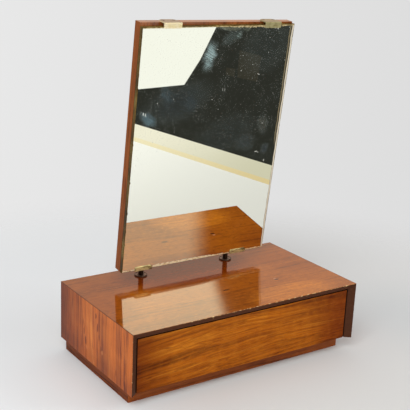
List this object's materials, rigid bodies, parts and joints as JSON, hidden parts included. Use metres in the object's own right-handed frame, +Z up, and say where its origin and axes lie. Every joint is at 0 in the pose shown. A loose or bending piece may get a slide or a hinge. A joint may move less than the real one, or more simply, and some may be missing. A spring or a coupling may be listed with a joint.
{
  "type": "vanity box with tilting mirror",
  "caption": "Table-top vanity box: a low wooden case with a full-width drawer, under a frameless clipped mirror that tilts on slim metal posts.",
  "frame": {"origin": "on the surface that the box stands on, under the middle of the case", "axes": "+X to the right, +Y to the back, +Z up; the drawer opens towards -Y"},
  "size_m": [0.4, 0.22, 0.5101],
  "materials": {
    "case_wood": "clear gloss lacquer",
    "front_wood": "clear gloss lacquer",
    "plinth_wood": "clear satin lacquer",
    "board_wood": "clear satin lacquer",
    "inner_wood": "planed, unfinished",
    "drawer_wood": "planed, waxed",
    "plywood": "sanded plywood",
    "mirror": "silvered float glass",
    "card": "black backing card",
    "brass": "dull tarnished brass",
    "dark_steel": "browned steel",
    "plain_steel": "zinc-plated steel",
    "fibre": "red vulcanised fibre"
  },
  "bodies": {
    "case": {"top_panel": "case_wood", "left_side_panel": "case_wood", "right_side_panel": "case_wood", "bottom_panel": "inner_wood", "back_panel": "plywood", "plinth_front_rail": "plinth_wood", "plinth_left_rail": "plinth_wood", "plinth_right_rail": "plinth_wood", "plinth_back_rail": "plinth_wood", "plinth_corner_blocks": "inner_wood", "post_batten": "inner_wood", "runner_left": "inner_wood", "runner_right": "inner_wood", "post_left": "dark_steel", "post_right": "dark_steel", "rosette_left": "dark_steel", "rosette_right": "dark_steel", "post_washers": "plain_steel", "post_nuts": "plain_steel", "back_panel_screws": "plain_steel", "batten_screws": "plain_steel", "runner_screws": "plain_steel"},
    "drawer": {"drawer_front": "front_wood", "drawer_side_left": "drawer_wood", "drawer_side_right": "drawer_wood", "drawer_back": "drawer_wood", "drawer_bottom": "plywood", "drawer_bottom_screws": "plain_steel"},
    "mirror": {"mirror_board": "board_wood", "mirror_card": "card", "mirror_glass": "mirror", "clip_top_left": "brass", "clip_top_right": "brass", "clip_bottom_left": "brass", "clip_bottom_right": "brass", "clip_screws": "brass", "pivot_bracket_left": "dark_steel", "pivot_bracket_right": "dark_steel", "bracket_screws": "dark_steel", "pivot_bolts": "dark_steel", "friction_washers": "fibre", "thumb_nuts": "brass"}
  },
  "joints": [
    {"name": "drawer_slide", "type": "slide", "parent": "case", "child": "drawer", "axis": [0, -1, 0], "range_m": [0, 0.15]},
    {"name": "mirror_tilt", "type": "hinge", "parent": "case", "child": "mirror", "pos_m": [0, 0.0765, 0.26999], "axis": [-1, 0, 0], "range_deg": [0, 35]}
  ]
}
